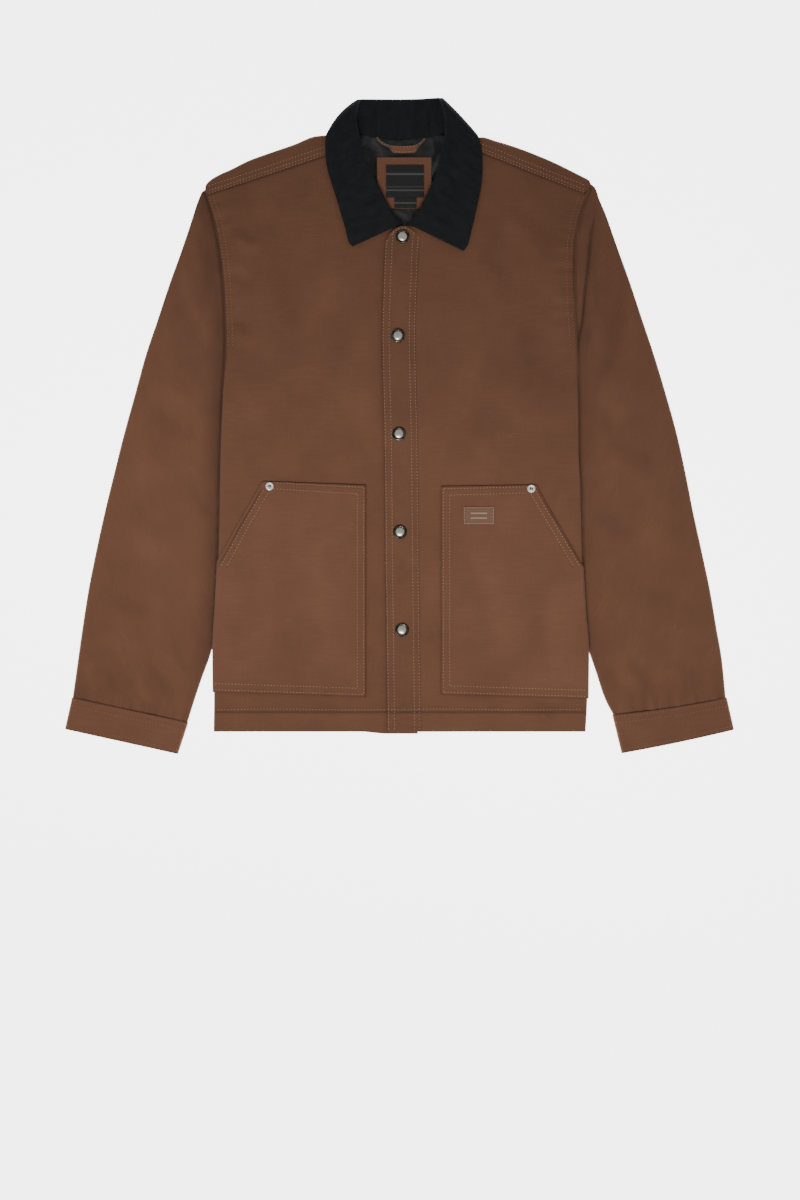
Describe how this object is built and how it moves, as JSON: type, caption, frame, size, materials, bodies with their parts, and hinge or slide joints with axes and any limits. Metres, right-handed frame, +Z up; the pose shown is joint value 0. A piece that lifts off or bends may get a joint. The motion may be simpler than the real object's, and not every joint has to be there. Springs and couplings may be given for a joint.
{
  "type": "barn jacket",
  "caption": "Brown canvas barn jacket with a black napped collar, snap placket and slanted patch pockets, buttoned up and lying flat on its back.",
  "frame": {"origin": "On the surface that the jacket lies on, under the middle of its bounding box.", "axes": "+Y points to the collar, +X to the wearer's left and +Z up, away from the back that the jacket lies on."},
  "size_m": [0.7851, 0.769, 0.0179],
  "materials": {
    "canvas": "matte brown cotton canvas",
    "collar_nap": "black fine nap",
    "lining_cloth": "dark satin lining",
    "black_weave": "woven label",
    "antique_metal": "antique silver",
    "bright_metal": "bright nickel"
  },
  "bodies": {
    "root": {"back": "canvas", "front_left": "canvas", "front_right": "canvas", "placket": "canvas", "pocket_left": "canvas", "pocket_right": "canvas", "sleeve_left": "canvas", "sleeve_right": "canvas", "cuff_left": "canvas", "cuff_right": "canvas", "neck_facing": "canvas", "hanger_loop": "canvas", "collar": "collar_nap", "lining": "lining_cloth", "neck_label": "black_weave", "size_tab": "black_weave", "pocket_label": "black_weave", "snap_1": "antique_metal", "snap_2": "antique_metal", "snap_3": "antique_metal", "snap_4": "antique_metal", "snap_5": "antique_metal", "rivet_left": "bright_metal", "rivet_right": "bright_metal"}
  },
  "joints": []
}
